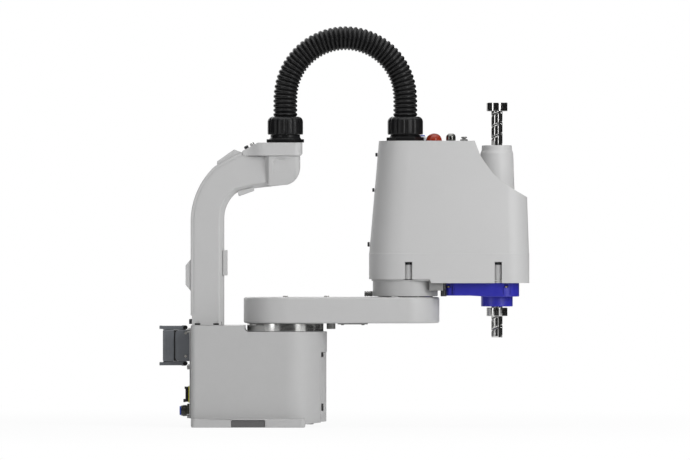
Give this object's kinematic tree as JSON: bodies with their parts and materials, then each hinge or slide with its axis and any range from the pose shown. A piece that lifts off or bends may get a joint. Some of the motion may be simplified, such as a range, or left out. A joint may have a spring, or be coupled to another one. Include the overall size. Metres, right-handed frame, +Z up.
{
  "type": "scara robot",
  "caption": "Small table-top SCARA robot with two horizontal arms, a vertical spline shaft with stop collars, and a corrugated cable conduit on a bracket.",
  "frame": {"origin": "on the first joint's axis, in the plane of the base's mounting face", "axes": "+X from the first joint to the second with the arm stretched out, +Y to the side, +Z up along the first joint's axis"},
  "size_m": [0.5248, 0.154, 0.567],
  "materials": {
    "painted_casting": "light grey paint over cast aluminium",
    "grey_plastic": "light grey moulded plastic, satin",
    "blue_plastic": "violet blue moulded plastic",
    "black_plastic": "black, slightly glossy",
    "dark_plate": "dark grey, matt",
    "connector_grey": "bluish dark grey powder coat",
    "steel": "ground and turned steel",
    "aluminium": "machined",
    "motor_black": "black motor housing",
    "lens_orange": "orange red lens",
    "white_plastic": "white fitting",
    "yellow_plastic": "yellow and black connector",
    "belt_rubber": "black toothed belt"
  },
  "bodies": {
    "base": {"base_casting": "painted_casting", "base_front_cover": "painted_casting", "base_rear_panel": "painted_casting", "foot_cap_left": "dark_plate", "foot_cap_right": "dark_plate", "j1_motor": "motor_black", "j1_reducer": "steel", "connector_housing": "connector_grey", "connector_hood": "connector_grey", "signal_connector": "yellow_plastic", "air_inlet_fitting": "black_plastic", "duct_left": "grey_plastic", "duct_right": "grey_plastic", "duct_lid": "grey_plastic", "duct_gland": "black_plastic", "duct_gland_nut": "black_plastic", "column_screw_left": "steel", "column_screw_right": "steel"},
    "upper_lever": {"connector_lever_upper": "connector_grey"},
    "lower_lever": {"connector_lever_lower": "connector_grey"},
    "arm_1": {"j1_output_ring": "steel", "arm_1_casting": "painted_casting", "arm_1_bottom_cover": "dark_plate", "j1_stop_bolt": "steel", "arm_1_screw_rear": "steel", "arm_1_screw_front": "steel", "j2_reducer": "steel", "cable_conduit": "black_plastic"},
    "arm_2": {"arm_2_casting": "painted_casting", "arm_2_cover": "grey_plastic", "lower_cover": "blue_plastic", "j2_motor": "motor_black", "j3_motor": "motor_black", "j4_motor": "motor_black", "z_axis_brake": "aluminium", "motor_plate": "aluminium", "j3_belt": "belt_rubber", "j4_belt": "belt_rubber", "spline_bearing": "steel", "ball_screw_bearing": "steel", "lamp_base": "black_plastic", "lamp_dome": "lens_orange", "air_fitting_black": "black_plastic", "air_fitting_white": "white_plastic", "button_bezel": "aluminium", "arm_gland": "black_plastic", "arm_gland_nut": "black_plastic", "j2_stop_bolt": "steel", "j2_stop_pin": "steel", "cover_screw_top": "steel", "cover_screw_middle": "steel", "cover_screw_bottom": "steel"},
    "screw_nut": {"ball_screw_nut": "steel"},
    "lift_pulley": {"j3_motor_pulley": "aluminium"},
    "turning_nut": {"spline_nut": "steel"},
    "turn_pulley": {"j4_motor_pulley": "aluminium"},
    "z_shaft": {"shaft": "steel", "upper_collar": "steel", "lower_collar": "steel"},
    "release_button": {"brake_button": "aluminium"}
  },
  "joints": [
    {"name": "joint_1", "type": "hinge", "parent": "base", "child": "arm_1", "pos_m": [0, 0, 0.1465], "axis": [0, 0, 1], "range_deg": [-125, 125]},
    {"name": "joint_2", "type": "hinge", "parent": "arm_1", "child": "arm_2", "pos_m": [0.17, 0, 0.1846], "axis": [0, 0, 1], "range_deg": [-104, 104]},
    {"name": "joint_4", "type": "hinge", "parent": "arm_2", "child": "turning_nut", "pos_m": [0.3, 0, 0.206], "axis": [0, 0, 1], "range_deg": [-360, 360]},
    {"name": "joint_3", "type": "slide", "parent": "turning_nut", "child": "z_shaft", "axis": [0, 0, 1], "range_m": [-0.15, 0]},
    {"name": "screw_nut_spin", "type": "hinge", "parent": "arm_2", "child": "screw_nut", "pos_m": [0.3, 0, 0.24], "axis": [0, 0, 1], "range_deg": [-2165, 5]},
    {"name": "lift_pulley_spin", "type": "hinge", "parent": "arm_2", "child": "lift_pulley", "pos_m": [0.24, -0.021, 0.24], "axis": [0, 0, 1], "range_deg": [-4810, 10]},
    {"name": "turn_pulley_spin", "type": "hinge", "parent": "arm_2", "child": "turn_pulley", "pos_m": [0.24, 0.021, 0.206], "axis": [0, 0, 1], "range_deg": [-805, 805]},
    {"name": "brake_button_press", "type": "slide", "parent": "arm_2", "child": "release_button", "axis": [0, 0, -1], "range_m": [0, 0.0012], "stiffness_N_per_m": 800},
    {"name": "upper_lever_hinge", "type": "hinge", "parent": "base", "child": "upper_lever", "pos_m": [-0.1416, 0, 0.1402], "axis": [0, 1, 0], "range_deg": [0, 60]},
    {"name": "lower_lever_hinge", "type": "hinge", "parent": "base", "child": "lower_lever", "pos_m": [-0.1416, 0, 0.0892], "axis": [0, -1, 0], "range_deg": [0, 60]}
  ],
  "couplings": [
    {"joint": "screw_nut_spin", "follows": "joint_3", "rad_per_m": 251.33},
    {"joint": "lift_pulley_spin", "follows": "joint_3", "rad_per_m": 558.51},
    {"joint": "turn_pulley_spin", "follows": "joint_4", "ratio": 2.2222}
  ]
}
